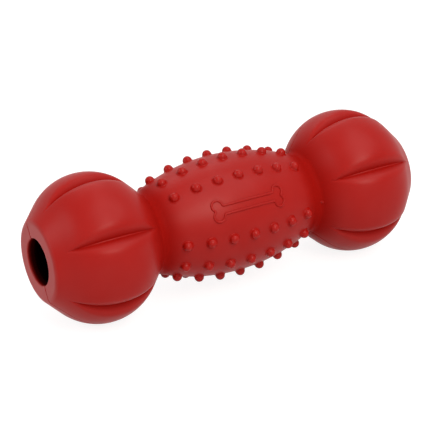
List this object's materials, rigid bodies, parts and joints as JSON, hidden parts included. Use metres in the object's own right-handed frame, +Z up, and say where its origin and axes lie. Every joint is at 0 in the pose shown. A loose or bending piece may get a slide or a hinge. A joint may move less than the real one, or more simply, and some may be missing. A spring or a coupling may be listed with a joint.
{
  "type": "chew toy",
  "caption": "Hollow rubber dumbbell-shaped chew toy: two fluted balls, a barrel covered in small nubs, and a treat hole in each end.",
  "frame": {"origin": "centre of the toy, on its long axis midway between the two flat ends", "axes": "+X along the long axis towards the right ball, +Z up when the toy lies with a flute of each ball underneath, -Y towards the front, 30 degrees below the front emblem"},
  "size_m": [0.166, 0.06, 0.0594],
  "materials": {
    "red_rubber": "satin moulded natural rubber, opaque red"
  },
  "bodies": {
    "root": {"barrel": "red_rubber", "left_ball": "red_rubber", "right_ball": "red_rubber", "left_end_ring": "red_rubber", "right_end_ring": "red_rubber", "nub_row_01": "red_rubber", "nub_row_02": "red_rubber", "nub_row_03": "red_rubber", "nub_row_04": "red_rubber", "nub_row_05": "red_rubber", "nub_row_06": "red_rubber", "nub_row_07": "red_rubber", "nub_row_08": "red_rubber", "nub_row_09": "red_rubber", "nub_row_10": "red_rubber", "front_bone_emblem": "red_rubber", "back_bone_emblem": "red_rubber", "vent_nib": "red_rubber"}
  },
  "joints": []
}
